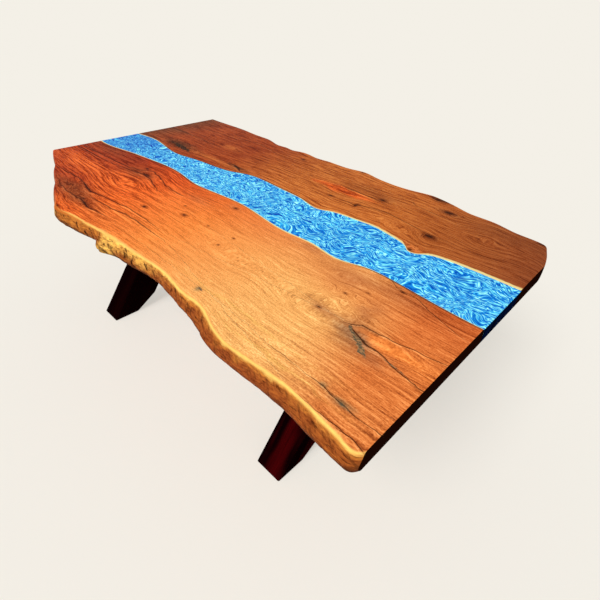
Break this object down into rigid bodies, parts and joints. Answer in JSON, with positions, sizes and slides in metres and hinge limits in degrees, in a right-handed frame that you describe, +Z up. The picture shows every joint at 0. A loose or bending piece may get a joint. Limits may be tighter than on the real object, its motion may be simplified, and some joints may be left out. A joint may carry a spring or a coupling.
{
  "type": "live edge dining table",
  "caption": "Live edge dining table: two natural-edge timber slabs joined by a blue resin river, on two dark crossed-leg frames.",
  "frame": {"origin": "on the floor, under the middle of the table top's bounding box", "axes": "+X along the table to the right end, +Y to the far side, +Z up"},
  "size_m": [2.1, 1.2348, 0.75],
  "materials": {
    "near_timber": "gloss lacquer over oiled heartwood",
    "far_timber": "gloss lacquer over oiled heartwood",
    "river_resin": "polished pearl blue epoxy",
    "void_resin": "polished dark epoxy",
    "leg_timber": "near-black mahogany stain, gloss lacquer",
    "channel_steel": "black powder coat",
    "zinc_steel": "zinc plated",
    "insert_brass": "turned",
    "dowel_timber": "bare beech",
    "felt": "pressed felt"
  },
  "bodies": {
    "root": {"near_slab": "near_timber", "far_slab": "far_timber", "river_resin": "river_resin", "near_void_fills": "void_resin", "far_void_fills": "void_resin", "left_channel": "channel_steel", "centre_channel": "channel_steel", "right_channel": "channel_steel", "channel_inserts": "insert_brass", "channel_bolts": "zinc_steel", "left_near_leg": "leg_timber", "left_far_leg": "leg_timber", "right_near_leg": "leg_timber", "right_far_leg": "leg_timber", "left_bearer": "leg_timber", "right_bearer": "leg_timber", "bearer_bolts": "zinc_steel", "bearer_washers": "zinc_steel", "bearer_inserts": "insert_brass", "leg_dowels": "dowel_timber", "leg_lag_screws": "zinc_steel", "lap_bolts": "zinc_steel", "lap_nuts": "zinc_steel", "lap_washers": "zinc_steel", "lap_plugs": "leg_timber", "foot_pads": "felt"}
  },
  "joints": []
}
